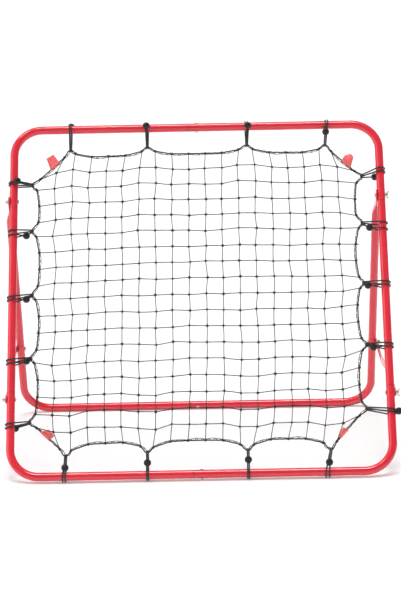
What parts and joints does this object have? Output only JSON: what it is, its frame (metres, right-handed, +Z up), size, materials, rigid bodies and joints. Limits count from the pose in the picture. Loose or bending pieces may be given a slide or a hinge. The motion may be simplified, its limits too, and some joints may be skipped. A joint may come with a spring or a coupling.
{
  "type": "rebounder net",
  "caption": "Folding ball rebounder: a taut knotted net tied by elastic ball loops to a leaning tube frame, with a hinged rear frame and slotted stays.",
  "frame": {"origin": "on the floor in the middle of the stand's footprint", "axes": "+X to the right along the bars, +Y from the net's foot to the rear bar, +Z up"},
  "size_m": [1.0442, 0.7392, 0.8444],
  "materials": {
    "red_powder_coat": "glossy powder coat",
    "zinc_plate": "bright zinc plate",
    "net_twine": "thin black knotted twine",
    "edge_rope": "black laid rope",
    "elastic_and_ball": "black covered elastic with a moulded ball",
    "coral_webbing": "coral woven tape"
  },
  "bodies": {
    "front_frame": {"ball_tie_bottom_1": "elastic_and_ball", "ball_tie_bottom_2": "elastic_and_ball", "ball_tie_bottom_3": "elastic_and_ball", "ball_tie_bottom_4": "elastic_and_ball", "ball_tie_left_1": "elastic_and_ball", "ball_tie_left_2": "elastic_and_ball", "ball_tie_left_3": "elastic_and_ball", "ball_tie_left_4": "elastic_and_ball", "ball_tie_left_5": "elastic_and_ball", "ball_tie_right_1": "elastic_and_ball", "ball_tie_right_2": "elastic_and_ball", "ball_tie_right_3": "elastic_and_ball", "ball_tie_right_4": "elastic_and_ball", "ball_tie_right_5": "elastic_and_ball", "ball_tie_top_1": "elastic_and_ball", "ball_tie_top_2": "elastic_and_ball", "ball_tie_top_3": "elastic_and_ball", "ball_tie_top_4": "elastic_and_ball", "bottom_bar_bolt": "zinc_plate", "bottom_bar_nut": "zinc_plate", "edge_rope": "edge_rope", "fabric_tag_bottom_left": "coral_webbing", "fabric_tag_bottom_right": "coral_webbing", "fabric_tag_top_left": "coral_webbing", "fabric_tag_top_right": "coral_webbing", "front_bottom_left_corner_tube": "red_powder_coat", "front_bottom_right_corner_tube": "red_powder_coat", "front_left_side_tube": "red_powder_coat", "front_right_side_tube": "red_powder_coat", "front_stay_bolt_left": "zinc_plate", "front_stay_bolt_right": "zinc_plate", "front_top_left_corner_tube": "red_powder_coat", "front_top_right_corner_tube": "red_powder_coat", "net": "net_twine", "pivot_bolt_left": "zinc_plate", "pivot_bolt_right": "zinc_plate", "top_bar_bolt": "zinc_plate", "top_bar_nut": "zinc_plate"},
    "rear_frame": {"rear_bar_bolt": "zinc_plate", "rear_bar_nut": "zinc_plate", "rear_left_corner_tube": "red_powder_coat", "rear_left_upper_leg": "red_powder_coat", "rear_right_corner_tube": "red_powder_coat", "rear_right_upper_leg": "red_powder_coat", "rear_stay_bolt_left": "zinc_plate", "rear_stay_bolt_right": "zinc_plate"},
    "stay_left_body": {"stay_left": "red_powder_coat"},
    "stay_right_body": {"stay_right": "red_powder_coat"},
    "front_stay_wing_nut_left_body": {"front_stay_wing_nut_left": "zinc_plate"},
    "front_stay_wing_nut_right_body": {"front_stay_wing_nut_right": "zinc_plate"},
    "pivot_wing_nut_left_body": {"pivot_wing_nut_left": "zinc_plate"},
    "pivot_wing_nut_right_body": {"pivot_wing_nut_right": "zinc_plate"},
    "rear_stay_wing_nut_left_body": {"rear_stay_wing_nut_left": "zinc_plate"},
    "rear_stay_wing_nut_right_body": {"rear_stay_wing_nut_right": "zinc_plate"}
  },
  "joints": [
    {"name": "rear_frame_fold", "type": "hinge", "parent": "front_frame", "child": "rear_frame", "pos_m": [0, 0.0779, 0.65105], "axis": [-1, 0, 0], "range_deg": [0, 15]},
    {"name": "stay_left_swing", "type": "hinge", "parent": "rear_frame", "child": "stay_left_body", "pos_m": [-0.50805, 0.27295, 0.20301], "axis": [1, 0, 0], "range_deg": [0, 10.4]},
    {"name": "stay_right_swing", "type": "hinge", "parent": "rear_frame", "child": "stay_right_body", "pos_m": [0.49555, 0.27295, 0.20301], "axis": [1, 0, 0], "range_deg": [0, 10.4]},
    {"name": "pivot_wing_nut_left_turn", "type": "hinge", "parent": "front_frame", "child": "pivot_wing_nut_left_body", "pos_m": [-0.5005, 0.0779, 0.65105], "axis": [-1, 0, 0], "continuous": true},
    {"name": "pivot_wing_nut_right_turn", "type": "hinge", "parent": "front_frame", "child": "pivot_wing_nut_right_body", "pos_m": [0.5095, 0.0779, 0.65105], "axis": [1, 0, 0], "continuous": true},
    {"name": "front_stay_wing_nut_left_turn", "type": "hinge", "parent": "front_frame", "child": "front_stay_wing_nut_left_body", "pos_m": [-0.5002, -0.23493, 0.18899], "axis": [-1, 0, 0], "continuous": true},
    {"name": "front_stay_wing_nut_right_turn", "type": "hinge", "parent": "front_frame", "child": "front_stay_wing_nut_right_body", "pos_m": [0.5127, -0.23493, 0.18899], "axis": [1, 0, 0], "continuous": true},
    {"name": "rear_stay_wing_nut_left_turn", "type": "hinge", "parent": "rear_frame", "child": "rear_stay_wing_nut_left_body", "pos_m": [-0.5133, 0.27295, 0.20301], "axis": [-1, 0, 0], "continuous": true},
    {"name": "rear_stay_wing_nut_right_turn", "type": "hinge", "parent": "rear_frame", "child": "rear_stay_wing_nut_right_body", "pos_m": [0.5008, 0.27295, 0.20301], "axis": [1, 0, 0], "continuous": true}
  ],
  "couplings": [
    {"joint": "stay_left_swing", "follows": "rear_frame_fold", "ratio": 0.68466},
    {"joint": "stay_right_swing", "follows": "rear_frame_fold", "ratio": 0.68466}
  ]
}
